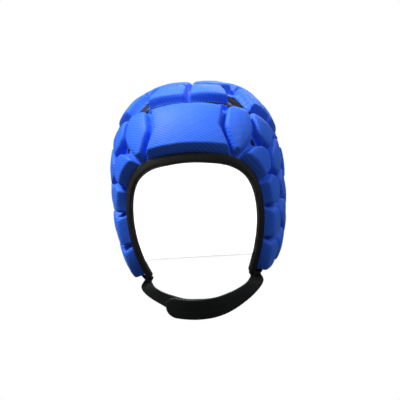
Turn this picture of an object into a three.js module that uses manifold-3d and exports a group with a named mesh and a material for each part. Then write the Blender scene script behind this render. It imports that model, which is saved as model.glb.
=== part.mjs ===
// Padded rugby scrum cap in its worn form: a crown panel and a wrap-around band of foam blocks,
// joined by a taped seam, bound round the face and closed by a two-part chin strap.
// Lengths are millimetres and angles are degrees. +Z is up, the face looks to -Y, and the origin
// is the top of the hollow, where the cap sits on the head.
import * as THREE from "three";
import { mergeVertices } from "three/addons/utils/BufferGeometryUtils.js";
import Module from "manifold-3d";

const wasm = await Module();
wasm.setup();

// The hollow that the head fills, measured from its middle
const headHalfWidth = 80.5;
const headFront = 97;
const headBack = 103;
const headRise = 104.5;
const headDrop = 111.5;
const planPower = 2.25;
const crownPower = 2.7;
const jawPower = 2.5;

// Foam laminate: a thin sheet between the blocks and the full thickness at a block
const sheetThickness = 3;
const blockThickness = 12;
const blockCrown = 0.6;
const blockRoot = 0.7;
const channelWidth = 3.2;

// Length of a block's slope beside a channel, beside the seam and beside the bound edge
const channelSlope = 2.8;
const crownSeamSlope = 3;
const bandSeamSlope = 11;
const edgeSlope = 7;
const shoulderPlace = 0.3;
const shoulderHeight = 0.6;

// Clearance between two pieces that touch on the real cap
const fitGap = 0.4;

// Seam between crown and band: a cone about an axis that leans back from the vertical
const crownLean = 22.4;
const seamAngle = 57;
const seamGap = 0.6;
const tapeWidth = 4.4;
const tapeThickness = 1;
const tapeMargin = 1;

// Bound edge
const bindingWidth = 8.5;
const bindingThickness = 1;
const edgeMargin = 1.2;

// Chin strap, sewn flat on the outside of the jaw
const strapWidth = 24;
const strapThickness = 3;
const lapGap = 1;

// Vents: holes in the sheet, each filled by a thin net
const ventMargin = 0.6;
const netThickness = 1;
const netLift = 1;

// Fineness of the facets
const faceSplits = 2;
const bandRows = 4;
const crownRings = 4;
const blockRays = 8;
const foreheadRays = 22;
const strapSteps = 18;

// Fineness of the search for borders: rows of the edge, millimetres of a ray, degrees between seeds
const edgeSampling = 0.25;
const edgeStep = 0.05;
const rayStride = 0.5;
const widestNeighbour = 50;
const mergeDistance = 1e-3;

// Free edge of the band, from the brow to the nape. seam is the angle about the leaning axis where
// a column of the band starts, down and around are where it ends: down from the top of the head,
// around from the face.
const edgeTable = [
  { seam: 0, down: 70, around: 0 },
  { seam: 14, down: 71, around: 13 },
  { seam: 26, down: 73.2, around: 25 },
  { seam: 36, down: 78.5, around: 35.5 },
  { seam: 43, down: 86.5, around: 42 },
  { seam: 49, down: 95.5, around: 45.2 },
  { seam: 55, down: 105, around: 46.6 },
  { seam: 60, down: 115, around: 46.8 },
  { seam: 65, down: 125, around: 46.5 },
  { seam: 71, down: 135.5, around: 47 },
  { seam: 77, down: 142.8, around: 50.5 },
  { seam: 85, down: 145.2, around: 59 },
  { seam: 95, down: 144.5, around: 71.5 },
  { seam: 109, down: 142, around: 89 },
  { seam: 126, down: 137.5, around: 111 },
  { seam: 145, down: 135, around: 136 },
  { seam: 162, down: 134, around: 158.5 },
  { seam: 180, down: 134, around: 180 },
];

// Row of this table, a fraction too, where the binding ends at the chin strap
const jawRow = 9.75;

// Seeds of the blocks on one side of the cap, mirrored to the other. A seed with more reach gets a
// larger block. Seeds with the same block name make one block.
const bandSeeds = [
  { block: "forehead", down: 46, around: 12, reach: 10.5 },
  { block: "forehead", down: 59, around: 11.5, reach: 10.5 },
  { block: "temple_front", down: 53.5, around: 36.5, reach: 10 },
  { block: "temple_top", down: 56.5, around: 58.5, reach: 10 },
  { block: "temple", down: 71.5, around: 48.5, reach: 10 },
  { block: "temple_back", down: 72.5, around: 70, reach: 10 },
  { block: "cheek_top", down: 91, around: 60, reach: 10 },
  { block: "cheek_middle", down: 110, around: 60.5, reach: 10 },
  { block: "jaw", down: 129.5, around: 63.5, reach: 10 },
  { block: "ear_front_top", down: 88, around: 81.5, reach: 10 },
  { block: "ear_front_middle", down: 106.5, around: 81.5, reach: 10 },
  { block: "ear_front_low", down: 126.5, around: 86, reach: 10 },
  { block: "ear_top", down: 76.5, around: 96, reach: 10 },
  { block: "ear_middle", down: 96, around: 103, reach: 10 },
  { block: "ear_low", down: 114, around: 104, reach: 10 },
  { block: "ear_base", down: 130.5, around: 109, reach: 9 },
  { block: "behind_ear_top", down: 83.5, around: 121, reach: 10 },
  { block: "behind_ear_middle", down: 103.5, around: 126, reach: 10 },
  { block: "behind_ear_low", down: 121.5, around: 128.5, reach: 10 },
  { block: "back_side_top", down: 88, around: 146, reach: 9.5 },
  { block: "back_side_middle", down: 104.5, around: 149, reach: 9.5 },
  { block: "back_side_low", down: 120.5, around: 151, reach: 10 },
  { block: "back_top", down: 90, around: 169, reach: 10 },
  { block: "back_middle", down: 107.5, around: 169.5, reach: 10 },
  { block: "nape", down: 123.5, around: 170, reach: 9.5 },
];
const crownSeeds = [
  { block: "crown_front", down: 28, around: 23.5, reach: 11.5 },
  { block: "crown_front_side", down: 38.5, around: 77, reach: 10.5 },
  { block: "crown_side", down: 51.5, around: 101, reach: 10.5 },
  { block: "crown_side_back", down: 61, around: 124, reach: 10.5 },
  { block: "crown_back_side", down: 66, around: 147, reach: 10 },
  { block: "crown_back", down: 68, around: 169, reach: 10 },
  { block: "top_front", down: 9.5, around: 58, reach: 10.5 },
  { block: "top_side", down: 26.5, around: 116, reach: 10.5 },
  { block: "top_back_side", down: 41.5, around: 143, reach: 10.5 },
  { block: "top_back", down: 47.5, around: 167.5, reach: 10 },
  { block: "top_middle", down: 20.5, around: 157, reach: 10.5 },
];
const ventSeeds = [
  { block: "vent_net_crown", down: 32, around: 53, reach: 8, radius: 12 },
  { block: "vent_net_temple", down: 61, around: 47.5, reach: 5.4, radius: 4.2 },
  { block: "vent_net_cheek", down: 99.5, around: 70.5, reach: 3.6, radius: 4.2 },
  { block: "vent_net_jaw", down: 118.5, around: 72.5, reach: 3.6, radius: 4.2 },
];

const radian = Math.PI / 180;

// Unit direction from the middle of the head: down from the top, around from the face
function towards(down, around) {
  const level = Math.sin(down * radian);
  return new THREE.Vector3(
    level * Math.sin(around * radian),
    -level * Math.cos(around * radian),
    Math.cos(down * radian),
  );
}

// The same about the leaning axis of the crown
function aboutCrown(angle, around) {
  return towards(angle, around).applyAxisAngle(new THREE.Vector3(1, 0, 0), -crownLean * radian);
}

const crownAxis = aboutCrown(0, 0);
const headMiddle = new THREE.Vector3(0, 0, -headRise);

// Distance from the middle of the head to the form, grown outwards by lift
function reachOf(direction, lift) {
  const width = headHalfWidth + lift;
  const depth = (direction.y < 0 ? headFront : headBack) + lift;
  const height = (direction.z > 0 ? headRise : headDrop) + lift;
  const plan = Math.pow(
    Math.pow(Math.abs(direction.x) / width, planPower) + Math.pow(Math.abs(direction.y) / depth, planPower),
    1 / planPower,
  );
  const power = direction.z > 0 ? crownPower : jawPower;
  const sum = Math.pow(plan, power) + Math.pow(Math.abs(direction.z) / height, power);
  return Math.pow(sum, -1 / power);
}

function onForm(direction, lift) {
  return direction.clone().multiplyScalar(reachOf(direction, lift)).add(headMiddle);
}

// Direction of the point that lies a length away from a direction, along a tangent
function stepped(direction, tangent, length) {
  const angle = length / reachOf(direction, sheetThickness);
  return direction.clone().multiplyScalar(Math.cos(angle)).addScaledVector(tangent, Math.sin(angle));
}

// Closed solid through a list of equal loops of points; the last loop joins the first when asked
function skinned(loops, joined = false) {
  const count = loops[0].length;
  const points = [];
  loops.forEach((loop) => loop.forEach((point) => points.push(point.x, point.y, point.z)));
  const corners = [];
  const spans = joined ? loops.length : loops.length - 1;
  for (let loop = 0; loop < spans; loop += 1) {
    const next = (loop + 1) % loops.length;
    for (let step = 0; step < count; step += 1) {
      const turn = (step + 1) % count;
      corners.push(loop * count + step, loop * count + turn, next * count + turn);
      corners.push(loop * count + step, next * count + turn, next * count + step);
    }
  }
  return closedGeometry(points, corners);
}

// Merges shared points, drops folded triangles and turns the faces outwards
function closedGeometry(points, corners) {
  const loose = new THREE.BufferGeometry();
  loose.setAttribute("position", new THREE.BufferAttribute(new Float32Array(points), 3));
  loose.setIndex(corners);
  const merged = mergeVertices(loose, mergeDistance);
  const index = merged.getIndex();
  const kept = [];
  for (let item = 0; item < index.count; item += 3) {
    const [a, b, c] = [index.getX(item), index.getX(item + 1), index.getX(item + 2)];
    if (a !== b && b !== c && c !== a) kept.push(a, b, c);
  }
  if (enclosedVolume(merged.getAttribute("position"), kept) < 0) kept.reverse();
  merged.setIndex(kept);
  return merged;
}

function enclosedVolume(position, corners) {
  const [a, b, c] = [new THREE.Vector3(), new THREE.Vector3(), new THREE.Vector3()];
  let total = 0;
  for (let item = 0; item < corners.length; item += 3) {
    a.fromBufferAttribute(position, corners[item]);
    b.fromBufferAttribute(position, corners[item + 1]);
    c.fromBufferAttribute(position, corners[item + 2]);
    total += a.dot(b.cross(c));
  }
  return total / 6;
}

function solidOf(geometry) {
  return new wasm.Manifold(new wasm.Mesh({
    numProp: 3,
    vertProperties: new Float32Array(geometry.getAttribute("position").array),
    triVerts: new Uint32Array(geometry.getIndex().array),
  }));
}

function geometryOf(solid) {
  const mesh = solid.getMesh();
  const geometry = new THREE.BufferGeometry();
  geometry.setAttribute("position", new THREE.BufferAttribute(mesh.vertProperties, 3));
  geometry.setIndex(new THREE.BufferAttribute(mesh.triVerts, 1));
  return geometry;
}

// Edge of the band, both sides, as one smooth run from nape to nape through the brow
const mirroredRows = edgeTable.slice(1).reverse().map((row) => ({
  seam: -row.seam,
  down: row.down,
  around: -row.around,
}));
const edgeRows = [...mirroredRows, ...edgeTable];
const edgeRun = new THREE.CatmullRomCurve3(
  edgeRows.map((row) => new THREE.Vector3(row.seam, row.down, row.around)),
  false,
  "catmullrom",
);
const browRow = edgeTable.length - 1;
const lastRow = edgeRows.length - 1;

// Point of the run at a row counted from the brow; fractions of a row are fine
function edgePlace(row) {
  return edgeRun.getPoint(THREE.MathUtils.clamp((row + browRow) / lastRow, 0, 1));
}

function edgeAt(row) {
  const place = edgePlace(row);
  return towards(place.y, place.z);
}

function seamTurn(row) {
  return edgePlace(row).x;
}

function seamAt(row) {
  return aboutCrown(seamAngle, seamTurn(row));
}

// Tangent at the edge that points into the band
function intoBand(row) {
  const edge = edgeAt(row);
  const along = edgeAt(Math.min(row + edgeStep, browRow)).sub(edgeAt(Math.max(row - edgeStep, -browRow)));
  const inward = edge.clone().cross(along).normalize();
  return inward.dot(seamAt(row)) < inward.dot(edge) ? inward.negate() : inward;
}

const edgeSamples = [];
for (let row = -browRow; row <= browRow; row += edgeSampling) edgeSamples.push(edgeAt(row));

function angleBetween(a, b) {
  return Math.acos(THREE.MathUtils.clamp(a.dot(b), -1, 1));
}

function lengthOn(direction, angle) {
  return angle * reachOf(direction, sheetThickness);
}

// Room from a direction to the seam, in millimetres, on the side of the band
function roomBelowSeam(direction) {
  return lengthOn(direction, angleBetween(direction, crownAxis) - seamAngle * radian);
}

function roomToEdge(direction) {
  return lengthOn(direction, Math.min(...edgeSamples.map((sample) => angleBetween(direction, sample))));
}

// Seeds on both sides, each with its direction and its weight. The forehead is one block across.
function bothSides(seeds) {
  return [1, -1].flatMap((side) => seeds.map((seed) => ({
    ...seed,
    name: seed.block === "forehead" ? seed.block : `${seed.block}_${side > 0 ? "left" : "right"}`,
    direction: towards(seed.down, seed.around * side),
    weight: 1 / Math.cos(seed.reach * radian),
  })));
}

const blocksOfBand = bothSides(bandSeeds);
const blocksOfCrown = bothSides(crownSeeds);
const vents = bothSides(ventSeeds);
const allSeeds = [...blocksOfBand, ...blocksOfCrown, ...vents];

// Room from a direction to the border between two seeds, positive on the first one's side
function roomBetween(direction, own, other) {
  const border = own.direction.clone().multiplyScalar(own.weight)
    .addScaledVector(other.direction, -other.weight)
    .normalize();
  return lengthOn(direction, Math.asin(THREE.MathUtils.clamp(direction.dot(border), -1, 1)));
}

// Room inside a cell made of one or more seeds
function roomInCell(direction, members) {
  const rivals = allSeeds.filter((seed) => seed.name !== members[0].name
    && angleBetween(seed.direction, direction) < widestNeighbour * radian);
  const rooms = members.map((own) => Math.min(...rivals.map((other) => roomBetween(direction, own, other))));
  return Math.max(...rooms) - channelWidth / 2;
}

// Room for a block at its foot or, with the slopes taken off, at its top
function roomForBlock(direction, members, inCrown, atTop) {
  const seamSlope = inCrown ? crownSeamSlope : bandSeamSlope;
  const slopes = atTop ? [channelSlope, seamSlope, edgeSlope] : [0, 0, 0];
  const seamSide = inCrown ? -roomBelowSeam(direction) : roomBelowSeam(direction);
  const rooms = [
    roomInCell(direction, members) - slopes[0],
    seamSide - tapeWidth / 2 - tapeMargin - slopes[1],
  ];
  if (!inCrown) rooms.push(roomToEdge(direction) - bindingWidth - edgeMargin - slopes[2]);
  return Math.min(...rooms);
}

// Lengths from a middle direction to where the room runs out, one for each ray
function raysToBorder(middle, count, room) {
  const east = new THREE.Vector3(0, 0, 1).cross(middle).normalize();
  const north = middle.clone().cross(east);
  const rays = [];
  for (let ray = 0; ray < count; ray += 1) {
    const angle = (ray / count) * 2 * Math.PI;
    const tangent = east.clone().multiplyScalar(Math.cos(angle)).addScaledVector(north, Math.sin(angle));
    let length = 0;
    while (length < headFront && room(stepped(middle, tangent, length + rayStride)) > 0) length += rayStride;
    rays.push({ tangent, length });
  }
  return rays;
}

function middleOf(members) {
  const sum = new THREE.Vector3();
  members.forEach((seed) => sum.add(seed.direction));
  return sum.normalize();
}

// One foam block: root inside the sheet, steep wall, sloped rim and a slightly crowned top
function foamBlock(members, inCrown) {
  const middle = middleOf(members);
  const large = members.length > 1;
  const count = large ? foreheadRays : blockRays;
  const foot = raysToBorder(middle, count, (at) => roomForBlock(at, members, inCrown, false));
  const top = raysToBorder(middle, count, (at) => roomForBlock(at, members, inCrown, true));
  const rise = blockThickness - sheetThickness;
  const ring = (lift, climb, share = 1) => foot.map((ray, item) => {
    const length = THREE.MathUtils.lerp(ray.length, top[item].length, climb);
    return onForm(stepped(middle, ray.tangent, length * share), lift);
  });
  const loops = [
    ring(blockRoot, 0, 0),
    ...(large ? [ring(blockRoot, 0, 0.5)] : []),
    ring(blockRoot, 0),
    ring(sheetThickness + rise * shoulderHeight, shoulderPlace),
    ring(blockThickness, 1),
    ...(large ? [ring(blockThickness + blockCrown, 1, 0.5)] : []),
    ring(blockThickness + blockCrown, 1, 0),
  ];
  return skinned(loops);
}

// Hole or net of a vent between two lifts: its cell among the blocks, up to its radius
function ventPlug(vent, lowLift, highLift, inset) {
  const rays = raysToBorder(vent.direction, blockRays, (direction) => Math.min(
    roomInCell(direction, [vent]) + channelWidth / 2 - ventMargin,
    vent.radius - lengthOn(direction, angleBetween(direction, vent.direction)),
  ));
  const ring = (lift, share) => rays.map((ray) => onForm(
    stepped(vent.direction, ray.tangent, Math.max(ray.length - inset, 0) * share), lift));
  return skinned([ring(lowLift, 0), ring(lowLift, 1), ring(highLift, 1), ring(highLift, 0)]);
}

function blocksJoined(sheet, seeds, inCrown) {
  const names = [...new Set(seeds.map((seed) => seed.name))];
  let solid = solidOf(sheet);
  names.forEach((name) => {
    const members = seeds.filter((seed) => seed.name === name);
    solid = solid.add(solidOf(foamBlock(members, inCrown)));
  });
  return solid;
}

// The sheet with its vents cut right through
function ventsCut(solid, inCrown) {
  const plugs = vents
    .filter((vent) => (roomBelowSeam(vent.direction) < 0) === inCrown)
    .map((vent) => solidOf(ventPlug(vent, -sheetThickness, blockThickness, 0)));
  return plugs.reduce((rest, plug) => rest.subtract(plug), solid);
}

// Rows of the band that the facets follow, once round
const bandSteps = [];
for (let row = -browRow; row < browRow; row += 1 / faceSplits) bandSteps.push(row);

// The crown turns at whole rows, so that its rim never reaches past the rim of the band
const crownTurns = bandSteps.filter((row) => Number.isInteger(row)).map((row) => seamTurn(row));

// Directions down one column of the band: from the seam to where the binding ends, then the edge
function bandColumn(row) {
  const bound = Math.abs(row) < jawRow + 1 / faceSplits;
  const start = seamAt(row);
  const hem = stepped(edgeAt(row), intoBand(row), bindingWidth + edgeMargin);
  const edge = bound ? stepped(edgeAt(row), intoBand(row), bindingThickness + fitGap) : edgeAt(row);
  const seamShare = seamGap / 2 / lengthOn(start, angleBetween(start, hem));
  const shares = Array.from({ length: bandRows + 1 }, (_, item) => item / bandRows);
  const upper = shares.map((share) => start.clone().lerp(hem, seamShare + (1 - seamShare) * share).normalize());
  return [...upper, edge];
}

function bandPanel() {
  const columns = bandSteps.map((row) => bandColumn(row));
  const loopAt = (item, lift) => columns.map((column) => onForm(column[item], lift));
  const outer = columns[0].map((_, item) => loopAt(item, sheetThickness));
  const inner = columns[0].map((_, item) => loopAt(item, 0)).reverse();
  const sheet = skinned([...outer, ...inner], true);
  return geometryOf(ventsCut(blocksJoined(sheet, blocksOfBand, false), false));
}

function crownPanel() {
  const rim = seamAngle - (seamGap / 2 / headRise) / radian;
  const loopAt = (share, lift) => crownTurns.map((turn) => onForm(aboutCrown(rim * share, turn), lift));
  const shares = Array.from({ length: crownRings + 1 }, (_, ring) => ring / crownRings);
  const outer = shares.map((share) => loopAt(share, sheetThickness));
  const inner = shares.map((share) => loopAt(share, 0)).reverse();
  return geometryOf(ventsCut(blocksJoined(skinned([...outer, ...inner]), blocksOfCrown, true), true));
}

// Flat tape laid over the seam
function seamTape() {
  const halfAngle = (tapeWidth / 2 / headRise) / radian;
  const low = sheetThickness + fitGap;
  const high = low + tapeThickness;
  const loopAt = (angle, lift) => bandSteps.map((row) => onForm(aboutCrown(angle, seamTurn(row)), lift));
  return skinned([
    loopAt(seamAngle - halfAngle, low),
    loopAt(seamAngle - halfAngle, high),
    loopAt(seamAngle + halfAngle, high),
    loopAt(seamAngle + halfAngle, low),
  ], true);
}

// Tape folded over the edge of the sheet, from one row of the edge to another
function binding(rows) {
  const outside = sheetThickness + fitGap;
  const section = [
    { inset: bindingWidth, lift: outside },
    { inset: bindingWidth, lift: outside + bindingThickness },
    { inset: bindingThickness / 2, lift: outside + bindingThickness },
    { inset: 0, lift: outside },
    { inset: 0, lift: -fitGap },
    { inset: bindingThickness / 2, lift: -fitGap - bindingThickness },
    { inset: bindingWidth, lift: -fitGap - bindingThickness },
    { inset: bindingWidth, lift: -fitGap },
    { inset: bindingThickness, lift: -fitGap },
    { inset: bindingThickness, lift: outside },
  ];
  const loops = rows.map((row) => section.map((corner) => onForm(
    stepped(edgeAt(row), intoBand(row), corner.inset), corner.lift)));
  return cappedSweep(loops);
}

// Solid through loops, each end closed by the flat outline of its loop
function cappedSweep(loops) {
  const count = loops[0].length;
  const points = [];
  loops.forEach((loop) => loop.forEach((point) => points.push(point.x, point.y, point.z)));
  const corners = [];
  for (let loop = 0; loop < loops.length - 1; loop += 1) {
    for (let step = 0; step < count; step += 1) {
      const turn = (step + 1) % count;
      const [a, b] = [loop * count + step, loop * count + turn];
      corners.push(a, b, b + count, a, b + count, a + count);
    }
  }
  const last = loops.length - 1;
  flatTriangles(loops[0]).forEach(([a, b, c]) => corners.push(a, c, b));
  flatTriangles(loops[last]).forEach((face) => corners.push(...face.map((item) => last * count + item)));
  return closedGeometry(points, corners);
}

// Triangles of a nearly flat outline, in the winding of its points
function flatTriangles(loop) {
  const normal = new THREE.Vector3();
  loop.forEach((point, item) => normal.add(point.clone().cross(loop[(item + 1) % loop.length])));
  normal.normalize();
  const across = loop[1].clone().sub(loop[0]).normalize();
  const up = normal.clone().cross(across);
  const outline = loop.map((point) => new THREE.Vector2(point.dot(across), point.dot(up)));
  return THREE.ShapeUtils.triangulateShape(outline, []);
}

// Chin strap: one half leaves the jaw on each side and the left one laps over the right one. A row
// holds a point of the upper edge and the point of the lower edge across from it, as shares of the
// head's half width, front and drop. The first row is sewn on the jaw, and the last one here is
// under the chin.
const strapTable = [
  { upperSide: 0.715, upperFront: 0.43, upperDrop: 0.78, lowerSide: 0.8, lowerFront: 0.235, lowerDrop: 0.77 },
  { upperSide: 0.664, upperFront: 0.448, upperDrop: 0.818, lowerSide: 0.762, lowerFront: 0.212, lowerDrop: 0.814 },
  { upperSide: 0.602, upperFront: 0.52, upperDrop: 0.861, lowerSide: 0.822, lowerFront: 0.31, lowerDrop: 0.879 },
  { upperSide: 0.528, upperFront: 0.575, upperDrop: 0.897, lowerSide: 0.77, lowerFront: 0.402, lowerDrop: 0.942 },
  { upperSide: 0.41, upperFront: 0.64, upperDrop: 0.937, lowerSide: 0.632, lowerFront: 0.505, lowerDrop: 1.022 },
  { upperSide: 0.26, upperFront: 0.712, upperDrop: 0.973, lowerSide: 0.41, lowerFront: 0.598, lowerDrop: 1.112 },
  { upperSide: 0.125, upperFront: 0.758, upperDrop: 0.983, lowerSide: 0.21, lowerFront: 0.66, lowerDrop: 1.163 },
  { upperSide: 0, upperFront: 0.774, upperDrop: 0.987, lowerSide: 0, lowerFront: 0.68, lowerDrop: 1.178 },
];
const lapTable = [
  { upperSide: -0.15, upperFront: 0.763, upperDrop: 0.985, lowerSide: -0.15, lowerFront: 0.67, lowerDrop: 1.175 },
  { upperSide: -0.3, upperFront: 0.73, upperDrop: 0.972, lowerSide: -0.31, lowerFront: 0.64, lowerDrop: 1.16 },
  { upperSide: -0.45, upperFront: 0.68, upperDrop: 0.952, lowerSide: -0.47, lowerFront: 0.588, lowerDrop: 1.135 },
];
const tailTable = [
  { upperSide: -0.14, upperFront: 0.758, upperDrop: 0.978, lowerSide: -0.14, lowerFront: 0.66, lowerDrop: 1.165 },
  { upperSide: -0.27, upperFront: 0.72, upperDrop: 0.962, lowerSide: -0.27, lowerFront: 0.62, lowerDrop: 1.14 },
];

// Rounded end as shares of the width, and shares of the length where a strap steps behind the other
const roundedLength = 0.5;
const tipWidth = 0.35;
const stepStart = 0.15;
const stepEnd = 0.45;

// Section of a strap: shares of its half width, and heights over its middle
const strapSection = [
  { across: -1, lift: -strapThickness / 2 },
  { across: 0, lift: -strapThickness / 2 },
  { across: 1, lift: -strapThickness / 2 },
  { across: 1, lift: strapThickness / 2 },
  { across: 0, lift: strapThickness / 2 },
  { across: -1, lift: strapThickness / 2 },
];

// Point of the head's frame from shares of its half width, front and drop
function byShares(side, front, drop) {
  return new THREE.Vector3(headHalfWidth * side, -headFront * front, -headDrop * drop);
}

// The point itself, or its shadow on the jaw at a lift where it would sink below that
function clearOfJaw(point, lift) {
  const direction = point.clone().normalize();
  return direction.multiplyScalar(Math.max(point.length(), reachOf(direction, lift))).add(headMiddle);
}

function chinStrap(side, tail, setBack) {
  const rows = [...strapTable, ...tail];
  const uppers = rows.map((row) => byShares(row.upperSide * side, row.upperFront, row.upperDrop));
  const lowers = rows.map((row) => byShares(row.lowerSide * side, row.lowerFront, row.lowerDrop));
  const upperEdge = new THREE.CatmullRomCurve3(uppers);
  const lowerEdge = new THREE.CatmullRomCurve3(lowers);
  const middle = new THREE.CatmullRomCurve3(uppers.map((point, item) => point.clone().lerp(lowers[item], 0.5)));
  const full = middle.getLength();
  const loops = [];
  for (let step = 0; step <= strapSteps; step += 1) {
    const share = step / strapSteps;
    const place = middle.getUtoTmapping(share);
    const upper = upperEdge.getPoint(place);
    const lower = lowerEdge.getPoint(place);
    const wide = upper.clone().sub(lower).normalize();
    const out = middle.getTangent(place).cross(wide).multiplyScalar(-side).normalize();
    const rounding = Math.max(1 - ((1 - share) * full) / (strapWidth * roundedLength), 0);
    const halfWidth = (strapWidth / 2) * Math.max(Math.sqrt(1 - rounding * rounding), tipWidth);
    const recess = setBack * THREE.MathUtils.smoothstep(share, stepStart, stepEnd);
    loops.push(strapSection.map((corner) => {
      const point = upper.clone().lerp(lower, 0.5).addScaledVector(wide, corner.across * halfWidth);
      point.addScaledVector(out, corner.lift - recess);
      return clearOfJaw(point, sheetThickness + fitGap + strapThickness / 2 + corner.lift);
    }));
  }
  return cappedSweep(loops);
}

// Materials, by the finish of the real piece
const finishes = {
  foamCloth: { color: 0x2a62e0, roughness: 0.72, metalness: 0 },
  blackTape: { color: 0x15161a, roughness: 0.8, metalness: 0 },
  blackNet: { color: 0x101114, roughness: 0.9, metalness: 0 },
  neoprene: { color: 0x18191c, roughness: 0.85, metalness: 0 },
};

const cap = new THREE.Group();

function addPiece(name, geometry, finish) {
  const mesh = new THREE.Mesh(geometry, new THREE.MeshStandardMaterial(finishes[finish]));
  mesh.name = name;
  cap.add(mesh);
}

function rowsBetween(start, end) {
  const count = Math.round(Math.abs(end - start) * faceSplits);
  return Array.from({ length: count + 1 }, (_, step) => THREE.MathUtils.lerp(start, end, step / count));
}

addPiece("crown_panel", crownPanel(), "foamCloth");
addPiece("band_panel", bandPanel(), "foamCloth");
addPiece("seam_tape", seamTape(), "blackTape");
addPiece("face_binding", binding(rowsBetween(-jawRow, jawRow)), "blackTape");
addPiece("chin_strap_left", chinStrap(1, lapTable, 0), "neoprene");
addPiece("chin_strap_right", chinStrap(-1, tailTable, strapThickness + lapGap), "neoprene");
vents.forEach((vent) => {
  addPiece(vent.name, ventPlug(vent, netLift, netLift + netThickness, fitGap), "blackNet");
});

export default cap;
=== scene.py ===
import math
import bmesh
import bpy
import numpy as np
from mathutils import Matrix, Vector


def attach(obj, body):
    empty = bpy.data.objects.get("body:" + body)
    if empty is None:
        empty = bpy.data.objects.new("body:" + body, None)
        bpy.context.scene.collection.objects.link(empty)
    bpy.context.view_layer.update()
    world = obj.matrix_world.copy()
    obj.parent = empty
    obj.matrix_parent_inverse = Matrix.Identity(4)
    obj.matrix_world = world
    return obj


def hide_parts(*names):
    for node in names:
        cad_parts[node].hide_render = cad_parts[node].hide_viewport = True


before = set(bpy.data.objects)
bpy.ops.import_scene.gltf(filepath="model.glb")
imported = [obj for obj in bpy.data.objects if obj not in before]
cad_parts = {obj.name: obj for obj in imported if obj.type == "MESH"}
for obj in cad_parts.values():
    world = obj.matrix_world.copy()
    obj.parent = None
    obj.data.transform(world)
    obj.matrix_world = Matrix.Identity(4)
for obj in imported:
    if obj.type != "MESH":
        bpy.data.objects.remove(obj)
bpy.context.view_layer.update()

# Lengths below are millimetres and angles are degrees, as in the part itself
metre = 0.001
radian = math.pi / 180

# Head that the cap is formed on
head_half_width = 80.5
head_front = 97
head_back = 103
head_rise = 104.5
head_drop = 111.5
plan_power = 2.25
crown_power = 2.7
jaw_power = 2.5
head_middle = np.array([0, 0, -head_rise])

# Foam laminate, where a slope is the length over which a wall rises to its full height
sheet_thickness = 3
block_thickness = 12
block_pillow = 1.1
pillow_reach = 15
channel_width = 3.0
channel_slope = 3.4
crown_seam_slope = 3
band_seam_slope = 11
edge_slope = 5.6
bevel_ease = 0.25
corner_softness = 1.1

# Ripples of the loose cover: two waves of each kind, each counted along x, y and z, and the height
# of the fast ones as a share of the slow ones'
ripple_height = 0.12
slow_waves = np.array([(31, 0, 17), (0, 27, -13)])
fast_waves = np.array([(83, -59, 0), (37, 0, 71)])
fast_share = 0.5

# Seam, tape and binding
fit_gap = 0.4
crown_lean = 22.4
seam_angle = 57
seam_gap = 0.6
tape_width = 4.4
tape_thickness = 1
tape_margin = 1
binding_width = 8.5
binding_thickness = 1
edge_margin = 1.2
rib_height = 0.16
rib_pitch = 1.9
tape_roundness = 5

# Cloth of the binding: its length for ribs and pattern, its sheet, and what its fold takes up
binding_length = 520
binding_sheet = 0.7
binding_fold = 6

# Chin strap
strap_width = 24
strap_thickness = 3
strap_roundness = 4.5
lap_gap = 1

# Shares of the right half's run between which it steps back behind the lap, and its loss of width
step_start = 0.15
step_end = 0.45
narrowed = 0.14

# Free end of a strap: shares of the width that its rounding takes and that its tip keeps, share of
# the thickness left at the tip, and the length over which the thickness grows
tip_rounding = 0.5
tip_width = 0.12
tip_thickness = 0.35
tip_thinning = 3

# Vents
vent_margin = 0.6
vent_softness = 0.4
net_lift = 1
net_pitch = 0.95
net_thread = 0.72
net_weave = 0.16

# Fineness of the meshes: mean length of the band from seam to edge for its rows, steps between
# columns or rows, and sides of a section
band_length = 112
cloth_step = 1.0
lining_step = 5
tape_step = 0.45
tape_sides = 20
binding_step = 0.5
binding_sides = 40
strap_step = 0.9
strap_sides = 64
strap_samples = 400

# Share of its columns that the round crown keeps, and the power by which a strap's columns gather
# at its free end
crown_fineness = 0.92
strap_ease = 1.15

# Points nearer than these become one, and faces of less than this in square millimetres go
weld_distance = 0.02
net_weld_distance = 0.1
smallest_face = 0.001

# Fineness of the outlines: rays of a vent's outline, their length and step, rows between samples
# of the band's edge, and rows to either side of a place for the direction of a path there
outline_rays = 40
ray_length = 14
ray_step = 0.1
edge_sample_rows = 0.08
edge_near = 0.05
path_near = 0.02

# Places of the materials on the padding
cover_face, lining_face, tape_face = 0, 1, 2

# Free edge of the band: seam is the turn about the leaning axis where a column of the band starts,
# down and around are where it ends
edge_table = [
    {"seam": 0, "down": 70, "around": 0},
    {"seam": 14, "down": 71, "around": 13},
    {"seam": 26, "down": 73.2, "around": 25},
    {"seam": 36, "down": 78.5, "around": 35.5},
    {"seam": 43, "down": 86.5, "around": 42},
    {"seam": 49, "down": 95.5, "around": 45.2},
    {"seam": 55, "down": 105, "around": 46.6},
    {"seam": 60, "down": 115, "around": 46.8},
    {"seam": 65, "down": 125, "around": 46.5},
    {"seam": 71, "down": 135.5, "around": 47},
    {"seam": 77, "down": 142.8, "around": 50.5},
    {"seam": 85, "down": 145.2, "around": 59},
    {"seam": 95, "down": 144.5, "around": 71.5},
    {"seam": 109, "down": 142, "around": 89},
    {"seam": 126, "down": 137.5, "around": 111},
    {"seam": 145, "down": 135, "around": 136},
    {"seam": 162, "down": 134, "around": 158.5},
    {"seam": 180, "down": 134, "around": 180},
]

# Row at the jaw where the binding ends, rows over which the band's edge draws back under it, and
# rows on both sides of the jaw where the band is black as the seat of the strap
jaw_row = 9.75
bound_rows = 0.5
seat_before = 0.5
seat_beyond = 2

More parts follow.
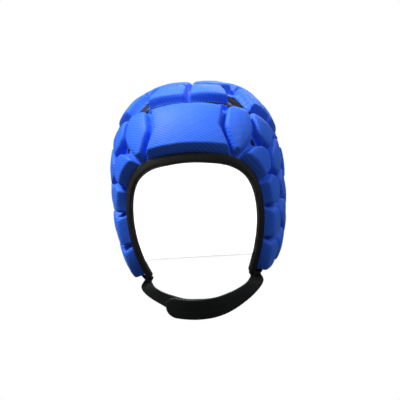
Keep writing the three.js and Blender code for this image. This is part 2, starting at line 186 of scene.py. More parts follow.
# Middles of the foam blocks on one side of the cap
band_seeds = [
    {"block": "forehead", "down": 46, "around": 12, "reach": 10.5},
    {"block": "forehead", "down": 59, "around": 11.5, "reach": 10.5},
    {"block": "temple_front", "down": 53.5, "around": 36.5, "reach": 10},
    {"block": "temple_top", "down": 56.5, "around": 58.5, "reach": 10},
    {"block": "temple", "down": 71.5, "around": 48.5, "reach": 10},
    {"block": "temple_back", "down": 72.5, "around": 70, "reach": 10},
    {"block": "cheek_top", "down": 91, "around": 60, "reach": 10},
    {"block": "cheek_middle", "down": 110, "around": 60.5, "reach": 10},
    {"block": "jaw", "down": 129.5, "around": 63.5, "reach": 10},
    {"block": "ear_front_top", "down": 88, "around": 81.5, "reach": 10},
    {"block": "ear_front_middle", "down": 106.5, "around": 81.5, "reach": 10},
    {"block": "ear_front_low", "down": 126.5, "around": 86, "reach": 10},
    {"block": "ear_top", "down": 76.5, "around": 96, "reach": 10},
    {"block": "ear_middle", "down": 96, "around": 103, "reach": 10},
    {"block": "ear_low", "down": 114, "around": 104, "reach": 10},
    {"block": "ear_base", "down": 130.5, "around": 109, "reach": 9},
    {"block": "behind_ear_top", "down": 83.5, "around": 121, "reach": 10},
    {"block": "behind_ear_middle", "down": 103.5, "around": 126, "reach": 10},
    {"block": "behind_ear_low", "down": 121.5, "around": 128.5, "reach": 10},
    {"block": "back_side_top", "down": 88, "around": 146, "reach": 9.5},
    {"block": "back_side_middle", "down": 104.5, "around": 149, "reach": 9.5},
    {"block": "back_side_low", "down": 120.5, "around": 151, "reach": 10},
    {"block": "back_top", "down": 90, "around": 169, "reach": 10},
    {"block": "back_middle", "down": 107.5, "around": 169.5, "reach": 10},
    {"block": "nape", "down": 123.5, "around": 170, "reach": 9.5},
]
crown_seeds = [
    {"block": "crown_front", "down": 28, "around": 23.5, "reach": 11.5},
    {"block": "crown_front_side", "down": 38.5, "around": 77, "reach": 10.5},
    {"block": "crown_side", "down": 51.5, "around": 101, "reach": 10.5},
    {"block": "crown_side_back", "down": 61, "around": 124, "reach": 10.5},
    {"block": "crown_back_side", "down": 66, "around": 147, "reach": 10},
    {"block": "crown_back", "down": 68, "around": 169, "reach": 10},
    {"block": "top_front", "down": 9.5, "around": 58, "reach": 10.5},
    {"block": "top_side", "down": 26.5, "around": 116, "reach": 10.5},
    {"block": "top_back_side", "down": 41.5, "around": 143, "reach": 10.5},
    {"block": "top_back", "down": 47.5, "around": 167.5, "reach": 10},
    {"block": "top_middle", "down": 20.5, "around": 157, "reach": 10.5},
]
vent_seeds = [
    {"block": "vent_net_crown", "down": 32, "around": 53, "reach": 8, "radius": 12},
    {"block": "vent_net_temple", "down": 61, "around": 47.5, "reach": 5.4, "radius": 4.2},
    {"block": "vent_net_cheek", "down": 99.5, "around": 70.5, "reach": 3.6, "radius": 4.2},
    {"block": "vent_net_jaw", "down": 118.5, "around": 72.5, "reach": 3.6, "radius": 4.2},
]

# Upper and lower edge of a strap from the jaw to the chin, as shares of the head's half width,
# front and drop, then the end that laps over and the end that lies behind it
strap_table = [
    {"upper": (0.715, 0.43, 0.78), "lower": (0.8, 0.235, 0.77)},
    {"upper": (0.664, 0.448, 0.818), "lower": (0.762, 0.212, 0.814)},
    {"upper": (0.602, 0.52, 0.861), "lower": (0.822, 0.31, 0.879)},
    {"upper": (0.528, 0.575, 0.897), "lower": (0.77, 0.402, 0.942)},
    {"upper": (0.41, 0.64, 0.937), "lower": (0.632, 0.505, 1.022)},
    {"upper": (0.26, 0.712, 0.973), "lower": (0.41, 0.598, 1.112)},
    {"upper": (0.125, 0.758, 0.983), "lower": (0.21, 0.66, 1.163)},
    {"upper": (0, 0.774, 0.987), "lower": (0, 0.68, 1.178)},
]
lap_table = [
    {"upper": (-0.15, 0.763, 0.985), "lower": (-0.15, 0.67, 1.175)},
    {"upper": (-0.3, 0.73, 0.972), "lower": (-0.31, 0.64, 1.16)},
    {"upper": (-0.45, 0.68, 0.952), "lower": (-0.47, 0.588, 1.135)},
]
tail_table = [
    {"upper": (-0.14, 0.758, 0.988), "lower": (-0.14, 0.66, 1.175)},
    {"upper": (-0.27, 0.72, 0.98), "lower": (-0.27, 0.62, 1.158)},
]


# Directions from the middle of the head, as rows of an array
def towards(down, around):
    down, around = np.broadcast_arrays(down, around)
    down, around = down * radian, around * radian
    level = np.sin(down)
    return np.stack([level * np.sin(around), -level * np.cos(around), np.cos(down)], axis=-1)


# The same about the crown's axis, which leans back
def about_crown(angle, around):
    upright = towards(angle, around)
    cosine, sine = math.cos(crown_lean * radian), -math.sin(crown_lean * radian)
    y = upright[..., 1] * cosine - upright[..., 2] * sine
    z = upright[..., 1] * sine + upright[..., 2] * cosine
    return np.stack([upright[..., 0], y, z], axis=-1)


crown_axis = about_crown(0, 0)


def unit(vectors):
    return vectors / np.linalg.norm(vectors, axis=-1, keepdims=True)


# Distance from the middle of the head to the form, grown outwards by lift
def reach_of(direction, lift):
    width = head_half_width + lift
    depth = np.where(direction[..., 1] < 0, head_front, head_back) + lift
    height = np.where(direction[..., 2] > 0, head_rise, head_drop) + lift
    x, y, z = (np.abs(direction[..., axis]) for axis in range(3))
    plan = (x / width) ** plan_power + (y / depth) ** plan_power
    power = np.where(direction[..., 2] > 0, crown_power, jaw_power)
    total = plan ** (power / plan_power) + (z / height) ** power
    return total ** (-1 / power)


# Places at some lift over the head
def on_form(direction, lift):
    return direction * reach_of(direction, lift)[..., None] + head_middle


# A step of some millimetres over the sheet, from a direction along its tangent
def stepped(direction, tangent, length):
    angle = (np.asarray(length) / reach_of(direction, sheet_thickness))[..., None]
    return direction * np.cos(angle) + tangent * np.sin(angle)


def angle_between(a, b):
    return np.arccos(np.clip(np.sum(a * b, axis=-1), -1, 1))


def length_on(direction, angle):
    return angle * reach_of(direction, sheet_thickness)


# Smooth run through rows of points, at places counted in rows
def smooth_run(points, place):
    points = np.asarray(points, float)
    first = 2 * points[0] - points[1]
    last = 2 * points[-1] - points[-2]
    padded = np.vstack([first, points, last])
    place = np.clip(np.asarray(place, float), 0, len(points) - 1)
    start = np.minimum(place.astype(int), len(points) - 2)
    t = (place - start)[..., None]
    before, here, there, after = (padded[start + shift] for shift in range(4))
    leave = (there - before) / 2
    arrive = (after - here) / 2
    bend = 3 * (there - here) - 2 * leave - arrive
    twist = 2 * (here - there) + leave + arrive
    return here + leave * t + bend * t ** 2 + twist * t ** 3


# Rows of the free edge all round, from nape to nape over the brow
mirrored = [(-row["seam"], row["down"], -row["around"]) for row in reversed(edge_table[1:])]
edge_rows = mirrored + [(row["seam"], row["down"], row["around"]) for row in edge_table]
brow_row = len(edge_table) - 1


def edge_place(row):
    return smooth_run(edge_rows, np.asarray(row, float) + brow_row)


def edge_at(row):
    place = edge_place(row)
    return towards(place[..., 1], place[..., 2])


def seam_at(row):
    return about_crown(seam_angle, edge_place(row)[..., 0])


# Tangent at the edge that points into the band
def into_band(row):
    row = np.asarray(row, float)
    edge = edge_at(row)
    after = edge_at(np.minimum(row + edge_near, brow_row))
    before = edge_at(np.maximum(row - edge_near, -brow_row))
    along = after - before
    inward = unit(np.cross(edge, along))
    seam = seam_at(row)
    wrong = np.sum(inward * seam, axis=-1) < np.sum(inward * edge, axis=-1)
    return np.where(wrong[..., None], -inward, inward)


# Rooms in millimetres over the sheet: from the seam down, and from the free edge
def room_below_seam(direction):
    return length_on(direction, angle_between(direction, crown_axis) - seam_angle * radian)


edge_samples = edge_at(np.arange(-brow_row, brow_row, edge_sample_rows))


def room_to_edge(direction):
    nearest = np.max(direction @ edge_samples.T, axis=-1)
    return length_on(direction, np.arccos(np.clip(nearest, -1, 1)))


# Seeds on both sides, each with its direction and its weight
def both_sides(seeds):
    whole = []
    for side, word in ((1, "left"), (-1, "right")):
        for seed in seeds:
            name = seed["block"] if seed["block"] == "forehead" else f"{seed['block']}_{word}"
            direction = towards(seed["down"], seed["around"] * side)
            weight = 1 / math.cos(seed["reach"] * radian)
            whole.append({**seed, "name": name, "direction": direction, "weight": weight})
    return whole


vents = both_sides(vent_seeds)
all_seeds = both_sides(band_seeds) + both_sides(crown_seeds) + vents
seed_names = np.array([seed["name"] for seed in all_seeds])
seed_pulls = np.array([seed["direction"] * seed["weight"] for seed in all_seeds])


# Room inside a cell, rounded off towards its corners by softness
def room_in_cell(direction, name, softness):
    reach = reach_of(direction, sheet_thickness)
    best = np.full(len(direction), -np.inf)
    rivals = seed_pulls[seed_names != name]
    for own in seed_pulls[seed_names == name]:
        borders = unit(own - rivals)
        rooms = np.arcsin(np.clip(direction @ borders.T, -1, 1)) * reach[:, None]
        room = rooms.min(axis=1)
        room = room - softness * np.log(np.exp((room[:, None] - rooms) / softness).sum(axis=1))
        best = np.maximum(best, room)
    return best


# Quarter circle from the foot of a wall to its top
def rounded_rise(room, slope):
    share = np.clip(room / slope, 0, 1)
    return np.sqrt(1 - (1 - share) ** 2)


# Straight bevel that eases into the top over its last part
def bevelled_rise(room, slope):
    share = np.clip(room / slope, 0, 1 + bevel_ease)
    over = np.maximum(share - 1 + bevel_ease, 0)
    return share - over ** 2 / (4 * bevel_ease)


def ripple(direction):
    slow, fast = (np.sin(direction @ waves.T).prod(axis=1) for waves in (slow_waves, fast_waves))
    return slow + fast_share * fast


# Height of the cover over the head: foam blocks between sloped walls, a flat sheet in the channels
def cloth_lift(direction, in_crown):
    owner = seed_names[np.argmax(direction @ seed_pulls.T, axis=1)]
    lift = np.full(len(direction), float(sheet_thickness))
    below = room_below_seam(direction)
    seam_room = (-below if in_crown else below) - tape_width / 2 - tape_margin
    if in_crown:
        rims = bevelled_rise(seam_room, crown_seam_slope)
    else:
        edge_room = room_to_edge(direction) - binding_width - edge_margin
        rims = rounded_rise(seam_room, band_seam_slope) * bevelled_rise(edge_room, edge_slope)
    for name in np.unique(owner):
        if name.startswith("vent"):
            continue
        mine = np.flatnonzero(owner == name)
        room = room_in_cell(direction[mine], name, corner_softness) - channel_width / 2
        side = rounded_rise(room, channel_slope)
        pillow = block_pillow * (1 - (1 - np.clip(room / pillow_reach, 0, 1)) ** 2)
        loose = ripple_height * ripple(direction[mine])
        top = block_thickness - sheet_thickness + pillow + loose
        lift[mine] += top * side * rims[mine]
    return lift


# Meshes start as a flat grid whose two shares are then moved to their places
def grid_shares(across, along):
    mesh = bmesh.new()
    mesh.loops.layers.uv.new("cloth")
    bmesh.ops.create_grid(mesh, x_segments=across, y_segments=along, size=0.5, calc_uvs=True)
    shares = np.array([(vert.co.x + 0.5, vert.co.y + 0.5) for vert in mesh.verts])
    return mesh, shares


def put(verts, points):
    for vert, point in zip(verts, points * metre):
        vert.co = point


def weld(mesh, distance=weld_distance):
    bmesh.ops.remove_doubles(mesh, verts=mesh.verts[:], dist=distance * metre)


def shaped(name, mesh, welded=True):
    if welded:
        weld(mesh)
    bmesh.ops.recalc_face_normals(mesh, faces=mesh.faces[:])
    for face in mesh.faces:
        face.smooth = True
    data = bpy.data.meshes.new(name)
    mesh.to_mesh(data)
    mesh.free()
    piece = bpy.data.objects.new(name, data)
    bpy.context.collection.objects.link(piece)
    return piece


# Turns the pattern into metres of cloth, from shares or, where a length is 1, from millimetres
def spread_pattern(piece, along, down):
    layer = piece.data.uv_layers[0]
    values = np.empty(len(layer.uv) * 2)
    layer.uv.foreach_get("vector", values)
    values = values.reshape(-1, 2)
    values[:, 0] *= along * metre
    values[:, 1] *= down * metre
    layer.uv.foreach_set("vector", values.ravel())


def finished(piece, node, slot, *materials):
    for material in materials:
        piece.data.materials.append(material)
    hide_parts(node)
    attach(piece, "root")


# Band: its section runs down the outside, round the edge and up the inside
def band_padding(cover, lining, tape):
    girth = 2 * math.pi * (head_half_width + head_front) / 2
    columns = round(girth / cloth_step)
    outer_rows = round(band_length / cloth_step)
    inner_rows = round(band_length / lining_step)
    last = outer_rows + inner_rows + 1
    mesh, shares = grid_shares(columns, last)
    step = np.rint(shares[:, 1] * last).astype(int)
    row = (shares[:, 0] * 2 - 1) * brow_row
    outside = step <= outer_rows
    depth = np.where(outside, step / outer_rows, (last - step) / inner_rows)
    depth = np.clip(depth, 0, 1)
    start = seam_at(row)
    bound = np.clip((jaw_row + bound_rows - np.abs(row)) / bound_rows, 0, 1)
    edge = stepped(edge_at(row), into_band(row), (binding_thickness + fit_gap) * bound)
    length = length_on(start, angle_between(start, edge))
    seam_share = seam_gap / 2 / length
    share = seam_share + (1 - seam_share) * depth
    direction = unit(start * (1 - share[:, None]) + edge * share[:, None])
    lift = np.zeros(len(direction))
    lift[outside] = cloth_lift(direction[outside], False)
    put(mesh.verts, on_form(direction, lift))
    turn = edge_place(row)[:, 0] / 360
    dress_band(mesh, outside, strap_seat(row, direction), turn, share * length)
    rim = (step == outer_rows) | (step == outer_rows + 1) | (step == last)
    for edge in mesh.edges:
        edge.smooth = not rim[[vert.index for vert in edge.verts]].all()
    close_section(mesh, lining_face)
    piece = shaped("band_padding", mesh)
    spread_pattern(piece, girth, 1)
    finished(piece, "band_panel", "foam_cloth", cover, lining, tape)
    return piece


# Where the band lies next to the strap's root and shows no blue
def strap_seat(row, direction):
    beside = (np.abs(row) > jaw_row - seat_before) & (np.abs(row) < jaw_row + seat_beyond)
    room = length_on(direction, angle_between(direction, edge_at(row)))
    return beside & (room < binding_width)


# Material of each face of the band, and its pattern: turns about the head by millimetres down
def dress_band(mesh, outside, seat, turn, down):
    pattern = mesh.loops.layers.uv["cloth"]
    for face in mesh.faces:
        corners = [vert.index for vert in face.verts]
        face.material_index = cover_face if outside[corners].all() else lining_face
        if seat[corners].all():
            face.material_index = tape_face
        for loop in face.loops:
            loop[pattern].uv = turn[loop.vert.index], down[loop.vert.index]


# Bridges the first and the last row of a grid, whose other two sides already meet
def close_section(mesh, material):
    weld(mesh)
    rims = [edge for edge in mesh.edges if edge.is_boundary]
    for face in bmesh.ops.bridge_loops(mesh, edges=rims)["faces"]:
        face.material_index = material


# Crown: a square of cloth, doubled and drawn out to a round panel, whose lining has a sharp rim
def crown_padding(cover, lining):
    radius = seam_angle * radian * head_rise
    count = round(2 * radius / cloth_step * crown_fineness)
    mesh, _ = grid_shares(count, count)
    grown = bmesh.ops.extrude_face_region(mesh, geom=mesh.faces[:], use_keep_orig=True)
    outer = {item for item in grown["geom"] if isinstance(item, bmesh.types.BMVert)}
    for face in mesh.faces:
        face.material_index = cover_face if outer.issuperset(face.verts) else lining_face
    for edge in mesh.edges:
        beside_rim = any(outer.intersection(face.verts) for face in edge.link_faces)
        edge.smooth = not (beside_rim and outer.isdisjoint(edge.verts))
    mesh.verts.index_update()
    verts = mesh.verts[:]
    x, y = np.array([(vert.co.x * 2, vert.co.y * 2) for vert in verts]).T
    round_x = x * np.sqrt(1 - y * y / 2)
    round_y = y * np.sqrt(1 - x * x / 2)
    rim = seam_angle - (seam_gap / 2 / head_rise) / radian
    angle = np.minimum(np.hypot(round_x, round_y), 1) * rim
    turn = np.arctan2(round_x, round_y) / radian
    direction = about_crown(angle, turn)
    outside = np.array([vert in outer for vert in verts])
    lift = np.zeros(len(verts))
    lift[outside] = cloth_lift(direction[outside], True)
    put(verts, on_form(direction, lift))
    piece = shaped("crown_padding", mesh)
    spread_pattern(piece, 2 * radius, 2 * radius)
    finished(piece, "crown_panel", "foam_cloth", cover, lining)
    return piece


# Rays from a middle to where the room runs out
def rays_to_border(middle, room):
    east = unit(np.cross([0, 0, 1], middle))
    north = np.cross(middle, east)
    angles = np.arange(outline_rays) / outline_rays * 2 * math.pi
    tangents = np.outer(np.cos(angles), east) + np.outer(np.sin(angles), north)
    lengths = np.arange(0, ray_length, ray_step)
    outline = []
    for tangent in tangents:
        points = stepped(np.repeat(middle[None], len(lengths), 0), tangent, lengths)
        inside = room(points) > 0
        reached = len(lengths) - 1 if inside.all() else max(int(np.argmin(inside)) - 1, 0)
        outline.append(lengths[reached])
    return tangents, np.array(outline)


# Outline of a vent: its cell within a circle
def vent_outline(vent):
    def room(points):
        inner = room_in_cell(points, vent["name"], vent_softness) - vent_margin
        middle = vent["direction"][None]
        return np.minimum(inner, vent["radius"] - length_on(points, angle_between(points, middle)))
    return rays_to_border(vent["direction"], room)


def in_turn(verts):
    return sorted(verts, key=lambda vert: math.atan2(vert.co.y, vert.co.x) % (2 * math.pi))


# Plug of a vent, cut out of the padding
def vent_plug(vent):
    tangents, lengths = vent_outline(vent)
    middle = np.repeat(vent["direction"][None], outline_rays, 0)
    rim = stepped(middle, tangents, lengths)
    mesh = bmesh.new()
    bmesh.ops.create_circle(mesh, cap_ends=True, segments=outline_rays, radius=1)
    low = in_turn(mesh.verts)
    grown = bmesh.ops.extrude_face_region(mesh, geom=mesh.faces[:], use_keep_orig=True)
    high = in_turn(item for item in grown["geom"] if isinstance(item, bmesh.types.BMVert))
    put(low, on_form(rim, -sheet_thickness))
    put(high, on_form(rim, block_thickness))
    return shaped("plug", mesh, welded=False)


def cut_vents(piece, in_crown):
    for vent in vents:
        if (room_below_seam(vent["direction"]) < 0) != in_crown:
            continue
        plug = vent_plug(vent)
        cut = piece.modifiers.new("vent", "BOOLEAN")
        cut.operation = "DIFFERENCE"
        cut.solver = "EXACT"
        cut.object = plug
        graph = bpy.context.evaluated_depsgraph_get()
        settled = bpy.data.meshes.new_from_object(piece.evaluated_get(graph))
        piece.modifiers.clear()
        piece.data = settled
        bpy.data.objects.remove(plug)


# Net of a vent: a woven grid drawn in to the vent's outline
def vent_net(vent, black):
    tangents, lengths = vent_outline(vent)
    east, north = tangents[0], tangents[outline_rays // 4]
    span = vent["radius"] * 2
    threads = round(span / net_pitch)
    mesh, shares = grid_shares(threads, threads)
    across, along = ((shares - 0.5) * span).T
    far = np.hypot(across, along)
    turn = np.arctan2(along, across) % (2 * math.pi)
    turns = np.arange(outline_rays + 1) / outline_rays * 2 * math.pi
    limit = np.interp(turn, turns, np.append(lengths, lengths[0]))
    limit = np.maximum(limit - fit_gap, 0)
    tangent = np.outer(np.cos(turn), east) + np.outer(np.sin(turn), north)
    middle = np.repeat(vent["direction"][None], len(shares), 0)
    place = stepped(middle, tangent, np.minimum(far, limit))
    phase = math.pi / net_pitch
    weave = net_weave * np.sin(across * phase) * np.sin(along * phase)
    put(mesh.verts, on_form(place, net_lift + net_thread / 2 + weave))
    beyond = {vert for vert, off in zip(mesh.verts, far > limit + net_pitch) if off}
    outside = [face for face in mesh.faces if beyond.issuperset(face.verts)]
    bmesh.ops.delete(mesh, geom=outside, context="FACES")
    weld(mesh, net_weld_distance)
    thin = [face for face in mesh.faces if face.calc_area() < smallest_face * metre ** 2]
    bmesh.ops.delete(mesh, geom=thin, context="FACES")
    bmesh.ops.wireframe(
        mesh, faces=mesh.faces[:], thickness=net_thread * metre, offset=0,
        use_boundary=True, use_even_offset=True, use_replace=True)
    piece = shaped(vent["name"].replace("vent_net", "woven_net"), mesh)
    finished(piece, vent["name"], "net", black)


# Closed rounded section of a ribbon: places across it and heights, once round
def rounded_section(sides, half_width, low, high, roundness):
    turns = np.arange(sides + 1) / sides * 2 * math.pi
    flat, up = (
        np.sign(side) * np.abs(side) ** (2 / roundness) for side in (np.cos(turns), np.sin(turns)))
    return half_width * flat, (high + low) / 2 + (high - low) / 2 * up


# Ribs across a ribbon, from -1 to 1
def ribs_along(share, length):
    return np.sin(share * length / rib_pitch * 2 * math.pi)


def seam_tape(cloth):
    girth = 2 * math.pi * math.sin(seam_angle * radian) * head_rise
    mesh, shares = grid_shares(round(girth / tape_step), tape_sides)
    low = sheet_thickness + fit_gap
    across, lift = rounded_section(
        tape_sides, tape_width / 2, low, low + tape_thickness, tape_roundness)
    side = np.rint(shares[:, 1] * tape_sides).astype(int)
    row = (shares[:, 0] * 2 - 1) * brow_row
    ribs = rib_height / 2 * ribs_along(shares[:, 0], girth)
    raised = np.where(lift[side] > low + tape_thickness / 2, ribs, 0)
    angle = seam_angle - across[side] / head_rise / radian
    direction = about_crown(angle, edge_place(row)[:, 0])
    put(mesh.verts, on_form(direction, lift[side] + raised))
    piece = shaped("crown_seam_tape", mesh)
    spread_pattern(piece, girth, tape_width * 2)
    finished(piece, "seam_tape", "tape", cloth)


# Section of the binding of the face opening, one tape folded over the edge and ribbed across:
# shares of its width in from the edge, and of half its height up from its middle
binding_section = [
    {"inset": 0.98, "lift": 0.45},
    {"inset": 1, "lift": 0.8},
    {"inset": 0.97, "lift": 1},
    {"inset": 0.75, "lift": 1.06},
    {"inset": 0.5, "lift": 1.08},
    {"inset": 0.25, "lift": 1.04},
    {"inset": 0.08, "lift": 0.92},
    {"inset": 0.01, "lift": 0.6},
    {"inset": 0, "lift": 0},
    {"inset": 0.01, "lift": -0.6},
    {"inset": 0.08, "lift": -0.92},
    {"inset": 0.3, "lift": -1.02},
    {"inset": 0.6, "lift": -1.02},
    {"inset": 0.97, "lift": -1},
    {"inset": 1, "lift": -0.8},
    {"inset": 0.98, "lift": -0.5},
]


def face_binding(cloth):
    shape = [(point["inset"], point["lift"]) for point in binding_section]
    profile = smooth_run(shape, np.linspace(0, len(shape) - 1, binding_sides + 1))
    mesh, shares = grid_shares(round(binding_length / binding_step), binding_sides)
    side = np.rint(shares[:, 1] * binding_sides).astype(int)
    row = (shares[:, 0] * 2 - 1) * jaw_row
    half = (sheet_thickness + 2 * (fit_gap + binding_thickness)) / 2
    ribs = 1 + rib_height / half * ribs_along(shares[:, 0], binding_length)
    lift = sheet_thickness / 2 + profile[side, 1] * half * ribs
    direction = stepped(edge_at(row), into_band(row), profile[side, 0] * binding_width)
    put(mesh.verts, on_form(direction, lift))
    bmesh.ops.solidify(mesh, geom=mesh.faces[:], thickness=-binding_sheet * metre)
    piece = shaped("face_edge_binding", mesh, welded=False)
    spread_pattern(piece, binding_length, binding_width * 2 + binding_fold)
    finished(piece, "face_binding", "tape", cloth)


def smooth_step(value, low, high):
    share = np.clip((value - low) / (high - low), 0, 1)
    return share * share * (3 - 2 * share)


# One half of the chin strap, between its two edges and never inside the band. Its columns gather
# towards the free end, and its tail may step back behind the other half
def strap_half(name, node, side, tail, set_back, cloth):
    rows = strap_table + tail
    size = np.array([head_half_width * side, -head_front, -head_drop])
    uppers = np.array([row["upper"] for row in rows]) * size
    lowers = np.array([row["lower"] for row in rows]) * size
    path = (uppers + lowers) / 2
    fine = np.linspace(0, len(rows) - 1, strap_samples)
    steps = np.linalg.norm(np.diff(smooth_run(path, fine), axis=0), axis=1)
    run = np.append(0, np.cumsum(steps))
    full = run[-1]
    mesh, shares = grid_shares(round(full / strap_step), strap_sides)
    share = 1 - (1 - shares[:, 0]) ** strap_ease
    place = np.interp(share * full, run, fine)
    upper = smooth_run(uppers, place)
    lower = smooth_run(lowers, place)
    middle = (upper + lower) / 2
    ahead = smooth_run(path, place + path_near) - smooth_run(path, place - path_near)
    wide = unit(upper - lower)
    out = unit(np.cross(ahead, wide)) * -side
    left = (1 - share) * full
    rounding = np.clip(1 - left / (strap_width * tip_rounding), 0, 1)
    half_width = strap_width / 2 * np.maximum(np.sqrt(1 - rounding ** 2), tip_width)
    stepped_back = smooth_step(share, step_start, step_end)
    if set_back > 0:
        half_width = half_width * (1 - narrowed * stepped_back)
    half_thickness = strap_thickness / 2
    across, lift = rounded_section(
        strap_sides, 1, -half_thickness, half_thickness, strap_roundness)
    turn = np.rint(shares[:, 1] * strap_sides).astype(int)
    height = lift[turn] * np.minimum(1, tip_thickness + left / tip_thinning)
    sideways = across[turn] * half_width
    outwards = height - set_back * stepped_back
    point = middle + wide * sideways[:, None] + out * outwards[:, None]
    far = np.linalg.norm(point, axis=1)
    direction = point / far[:, None]
    seat = reach_of(direction, sheet_thickness + fit_gap + half_thickness + height)
    put(mesh.verts, direction * np.maximum(far, seat)[:, None] + head_middle)
    weld(mesh)
    bmesh.ops.holes_fill(mesh, edges=[edge for edge in mesh.edges if edge.is_boundary])
    piece = shaped(name, mesh)
    spread_pattern(piece, full, 2 * strap_width)
    finished(piece, node, "neoprene", cloth)


# Finishes
def new_finish(name):
    material = bpy.data.materials.new(name)
    material.use_nodes = True
    nodes, links = material.node_tree.nodes, material.node_tree.links
    return material, nodes, links, nodes["Principled BSDF"]


def set_inputs(node, values):
    for name, value in values.items():
        node.inputs[name].default_value = value


# Pattern of the cloth in millimetres, turned
def pattern_place(nodes, links, turn=0):
    source = nodes.new("ShaderNodeUVMap")
    source.uv_map = "cloth"
    mapping = nodes.new("ShaderNodeMapping")
    set_inputs(mapping, {"Scale": (1 / metre,) * 3, "Rotation": (0, 0, turn * radian)})
    links.new(source.outputs["UV"], mapping.inputs["Vector"])
    return mapping.outputs["Vector"]


def object_place(nodes):
    return nodes.new("ShaderNodeTexCoord").outputs["Object"]


# Bands of a wave, one for each pitch in millimetres
def ribs_of(nodes, links, pitch, turn):
    radians_of_wave = 20
    wave = nodes.new("ShaderNodeTexWave")
    wave.wave_type = "BANDS"
    wave.bands_direction = "X"
    wave.inputs["Scale"].default_value = 2 * math.pi / radians_of_wave / pitch
    links.new(pattern_place(nodes, links, turn), wave.inputs["Vector"])
    return wave.outputs["Fac"]


def noise_of(nodes, links, vector, scale):
    noise = nodes.new("ShaderNodeTexNoise")
    set_inputs(noise, {"Scale": scale, "Detail": 3})
    links.new(vector, noise.inputs["Vector"])
    return noise.outputs["Fac"]


def maths(nodes, links, kind, first, second):
    node = nodes.new("ShaderNodeMath")
    node.operation = kind
    for socket, value in zip(node.inputs, (first, second)):
        if isinstance(value, (int, float)):
            socket.default_value = value
        else:
            links.new(value, socket)
    return node.outputs["Value"]


# Colour of a finish, between two colours by a share
def coloured(nodes, links, shader, share, first, second):
    mix = nodes.new("ShaderNodeMix")
    mix.data_type = "RGBA"
    set_inputs(mix, {"A": (*first, 1), "B": (*second, 1)})
    links.new(share, mix.inputs["Factor"])
    links.new(mix.outputs["Result"], shader.inputs["Base Color"])


# Relief of a finish, with its depth in millimetres
def bumped(nodes, links, shader, height, strength, depth):
    bump = nodes.new("ShaderNodeBump")
    set_inputs(bump, {"Strength": strength, "Distance": depth * metre})
    links.new(height, bump.inputs["Height"])
    links.new(bump.outputs["Normal"], shader.inputs["Normal"])


def blue_cover():
    knit_share, weave_shade_share, cloud_share = 0.4, 0.5, 0.25
    material, nodes, links, shader = new_finish("blue knitted cover")
    diagonal = ribs_of(nodes, links, pitch=2.4, turn=60)
    courses = ribs_of(nodes, links, pitch=0.95, turn=0)
    wales = ribs_of(nodes, links, pitch=0.8, turn=90)
    knit = maths(nodes, links, "MULTIPLY", courses, wales)
    fine = maths(nodes, links, "MULTIPLY", knit, knit_share)
    weave = maths(nodes, links, "ADD", diagonal, fine)
    # The weave's grooves are coloured darker and its ridges lighter: partly the knit's own tone,
    # partly painted shade. The clouds are random tone.
    weave_tone_and_shade = maths(nodes, links, "MULTIPLY", weave, weave_shade_share)
    clouds = noise_of(nodes, links, object_place(nodes), scale=55)
    cloudy = maths(nodes, links, "MULTIPLY", clouds, cloud_share)
    share = maths(nodes, links, "ADD", weave_tone_and_shade, cloudy)
    coloured(nodes, links, shader, share, first=(0.02, 0.11, 0.72), second=(0.045, 0.2, 1))
    set_inputs(shader, {
        "Roughness": 0.55, "Specular IOR Level": 0.3,
        "Sheen Weight": 0.2, "Sheen Roughness": 0.35, "Sheen Tint": (0.35, 0.7, 1, 1)})
    bumped(nodes, links, shader, weave, strength=0.5, depth=0.22)
    return material


def pale_lining():
    material, nodes, links, shader = new_finish("pale brushed lining")
    fluff = noise_of(nodes, links, object_place(nodes), scale=900)
    coloured(nodes, links, shader, fluff, first=(0.86, 0.86, 0.87), second=(0.94, 0.94, 0.94))
    set_inputs(shader, {"Roughness": 0.9})
    bumped(nodes, links, shader, fluff, strength=0.3, depth=0.2)
    return material


def black_tape():
    least_thread = 0.5
    material, nodes, links, shader = new_finish("black ribbed tape")
    ticks = ribs_of(nodes, links, pitch=rib_pitch, turn=0)
    threads = ribs_of(nodes, links, pitch=0.6, turn=90)
    threads = maths(nodes, links, "ADD", threads, least_thread)
    raised = maths(nodes, links, "MULTIPLY", ticks, threads)
    # The raised ribs are coloured lighter brownish grey, a painted highlight on the ridges.
    coloured(nodes, links, shader, raised, first=(0.001,) * 3, second=(0.02, 0.016, 0.011))
    set_inputs(shader, {"Roughness": 0.55, "Specular IOR Level": 0.3})
    bumped(nodes, links, shader, raised, strength=0.5, depth=0.2)
    return material


def black_neoprene():
    line_share = 0.6
    material, nodes, links, shader = new_finish("black cloth-faced neoprene")
    lengthwise = ribs_of(nodes, links, pitch=1.5, turn=90)
    specks = noise_of(nodes, links, pattern_place(nodes, links), scale=1.4)
    lines = maths(nodes, links, "MULTIPLY", lengthwise, line_share)
    raised = maths(nodes, links, "ADD", lines, specks)
    coloured(nodes, links, shader, raised, first=(0.002,) * 3, second=(0.01,) * 3)
    set_inputs(shader, {"Roughness": 0.6, "Specular IOR Level": 0.3})
    bumped(nodes, links, shader, raised, strength=0.4, depth=0.2)
    return material


def black_net():
    material, nodes, links, shader = new_finish("black net yarn")
    strands = noise_of(nodes, links, object_place(nodes), scale=2500)
    coloured(nodes, links, shader, strands, first=(0.003, 0.003, 0.004), second=(0.02, 0.02, 0.024))
    set_inputs(shader, {"Roughness": 0.7})
    bumped(nodes, links, shader, strands, strength=0.3, depth=0.1)
    return material


# Studio: camera of the photograph, soft lights, pale floor. Places of lights and floor are metres
def axes_of_view(azimuth, elevation, roll):
    azimuth, elevation, roll = (angle * radian for angle in (azimuth, elevation, roll))
    right = Vector((math.cos(azimuth), math.sin(azimuth), 0))
    level = math.cos(elevation)
    back = Vector((math.sin(azimuth) * level, -math.cos(azimuth) * level, math.sin(elevation)))
    up = back.cross(right)
    turned = Matrix.Rotation(-roll, 3, back)
    return turned @ right, turned @ up, back


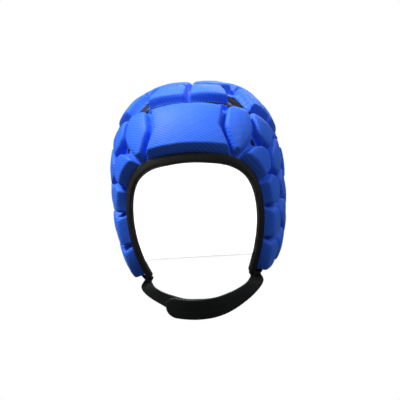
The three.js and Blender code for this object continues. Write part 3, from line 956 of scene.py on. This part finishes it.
def photo_camera():
    azimuth, elevation, roll = 5.5, 4, 3.8
    distance = 2000
    sensor = 36
    frame_width = 432
    centre_right, centre_down = 1.1, 10.8
    right, up, back = axes_of_view(azimuth, elevation, roll)
    aim = Vector(head_middle) + right * centre_right - up * centre_down
    data = bpy.data.cameras.new("photo_camera")
    data.sensor_width = sensor
    data.lens = sensor * distance / frame_width
    camera = bpy.data.objects.new("photo_camera", data)
    place = (aim + back * distance) * metre
    camera.matrix_world = Matrix((
        (right.x, up.x, back.x, place.x),
        (right.y, up.y, back.y, place.y),
        (right.z, up.z, back.z, place.z),
        (0, 0, 0, 1)))
    bpy.context.collection.objects.link(camera)
    bpy.context.scene.camera = camera


def soft_light(name, place, size, power, toward=tuple(head_middle * metre)):
    data = bpy.data.lights.new(name, "AREA")
    data.size = size
    data.energy = power
    light = bpy.data.objects.new(name, data)
    light.location = place
    light.visible_camera = False
    aim = Vector(toward) - Vector(place)
    light.rotation_euler = aim.to_track_quat("-Z", "Y").to_euler()
    bpy.context.collection.objects.link(light)


# Shows one shader to the camera, and another to all other rays
def split_by_camera(nodes, links, seen, unseen, surface):
    mix = nodes.new("ShaderNodeMixShader")
    links.new(nodes.new("ShaderNodeLightPath").outputs["Is Camera Ray"], mix.inputs["Fac"])
    links.new(unseen, mix.inputs[1])
    links.new(seen, mix.inputs[2])
    links.new(mix.outputs["Shader"], surface)


# Light that falls on the cap from around it: bright above, dim below, plain white to the camera
def studio_air():
    world = bpy.data.worlds.new("studio_air")
    world.use_nodes = True
    nodes, links = world.node_tree.nodes, world.node_tree.links
    parts = nodes.new("ShaderNodeSeparateXYZ")
    links.new(nodes.new("ShaderNodeTexCoord").outputs["Generated"], parts.inputs["Vector"])
    height = nodes.new("ShaderNodeMapRange")
    set_inputs(height, {"From Min": 0.25, "From Max": 1, "To Min": 0.02, "To Max": 0.85})
    links.new(parts.outputs["Z"], height.inputs["Value"])
    soft = nodes["Background"]
    links.new(height.outputs["Result"], soft.inputs["Strength"])
    set_inputs(soft, {"Color": (0.75, 0.87, 1, 1)})
    white = nodes.new("ShaderNodeBackground")
    set_inputs(white, {"Color": (1, 1, 1, 1)})
    split_by_camera(
        nodes, links, white.outputs["Background"], soft.outputs["Background"],
        nodes["World Output"].inputs["Surface"])
    bpy.context.scene.world = world


def studio_floor():
    half_side, drop, grey = 12, 0.4, 0.08
    mesh = bmesh.new()
    bmesh.ops.create_grid(mesh, x_segments=1, y_segments=1, size=half_side)
    bmesh.ops.translate(mesh, verts=mesh.verts[:], vec=(0, 0, -drop))
    floor = shaped("studio_floor", mesh, welded=False)
    material, nodes, links, shader = new_finish("pale floor")
    set_inputs(shader, {"Base Color": (grey, grey, grey, 1), "Roughness": 1})
    glow = nodes.new("ShaderNodeEmission")
    split_by_camera(
        nodes, links, glow.outputs["Emission"], shader.outputs["BSDF"],
        nodes["Material Output"].inputs["Surface"])
    floor.data.materials.append(material)


def studio():
    bpy.context.scene.view_settings.view_transform = "Standard"
    studio_air()
    studio_floor()
    soft_light("key_light", place=(-0.9, -0.65, 1.6), size=0.45, power=56)
    soft_light("fill_light", place=(1.2, -0.6, 0.9), size=1.0, power=8)
    soft_light("back_light", place=(0.3, 1.5, 1.0), size=1.0, power=10)
    soft_light(
        "inner_light", place=(0, -0.03, -0.155), size=0.1, power=0.22, toward=(0, 0.1, -0.12))


photo_camera()
studio()
cover = blue_cover()
lining = pale_lining()
tape = black_tape()
neoprene = black_neoprene()
net = black_net()
cut_vents(band_padding(cover, lining, tape), False)
cut_vents(crown_padding(cover, lining), True)
seam_tape(tape)
face_binding(tape)
strap_half("strap_half_left", "chin_strap_left", 1, lap_table, 0, neoprene)
lap_depth = strap_thickness + lap_gap
strap_half("strap_half_right", "chin_strap_right", -1, tail_table, lap_depth, neoprene)
for vent in vents:
    vent_net(vent, net)
